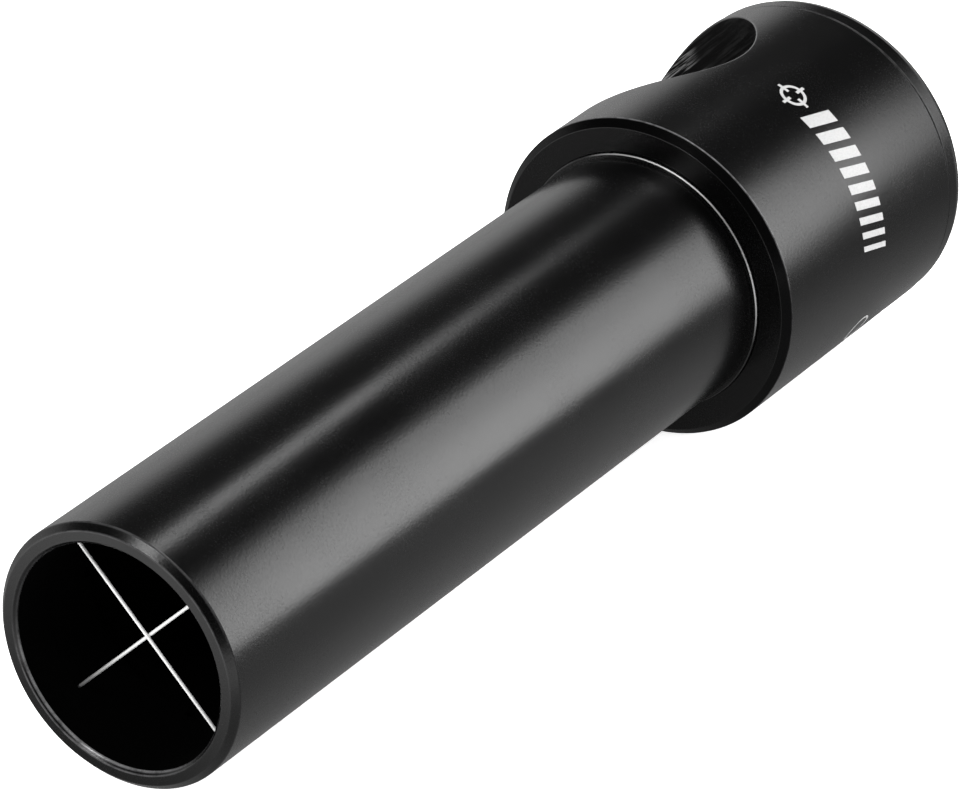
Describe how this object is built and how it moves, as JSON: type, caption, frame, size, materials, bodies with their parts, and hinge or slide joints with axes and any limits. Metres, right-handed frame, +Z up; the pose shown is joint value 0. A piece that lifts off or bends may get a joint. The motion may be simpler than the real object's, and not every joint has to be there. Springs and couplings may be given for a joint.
{
  "type": "collimating eyepiece",
  "caption": "Cheshire collimating eyepiece: a black sight barrel with a crosshair at its mouth and a head with a side window, an angled reflector and a peephole.",
  "frame": {"origin": "on the sight axis at the barrel's root, where its full diameter starts just in front of the head's shoulder", "axes": "+X along the sight axis from the eye end to the barrel's open mouth; +Z up, with the side window facing up and back, midway between +Z and -Y"},
  "size_m": [0.1455, 0.041, 0.041],
  "materials": {
    "black_anodised": "satin",
    "seat_ring": "satin, bright edge",
    "matt_black": "matt",
    "steel_wire": "bright drawn",
    "wire_resin": "gloss",
    "blackened_screw": "satin",
    "polished_reflector": "polished",
    "blackened_bush": "satin",
    "white_print": "matt ink"
  },
  "bodies": {
    "eye_end": {"eye_cap": "black_anodised", "reflector_block": "polished_reflector", "peephole_bush": "blackened_bush"},
    "head": {"head_body": "black_anodised", "reflector_set_screws": "blackened_screw"},
    "seat_ring": {"barrel_seat_ring": "seat_ring"},
    "barrel": {"barrel_tube": "black_anodised", "crosshair_cell": "matt_black", "crosshair_wire_front": "steel_wire", "crosshair_wire_rear": "steel_wire", "crosshair_wire_beads": "wire_resin", "crosshair_lock_ring": "matt_black"}
  },
  "joints": [
    {"name": "head_travel", "type": "slide", "parent": "barrel", "child": "seat_ring", "axis": [-1, 0, 0], "range_m": [0, 0.0071]},
    {"name": "head_turn", "type": "hinge", "parent": "seat_ring", "child": "head", "pos_m": [0, 0, 0], "axis": [-1, 0, 0], "range_deg": [0, 2520]},
    {"name": "eye_end_pull", "type": "slide", "parent": "head", "child": "eye_end", "axis": [-1, 0, 0], "range_m": [0, 0.032]}
  ],
  "couplings": [
    {"joint": "head_travel", "follows": "head_turn", "m_per_rad": 0.00015915}
  ]
}
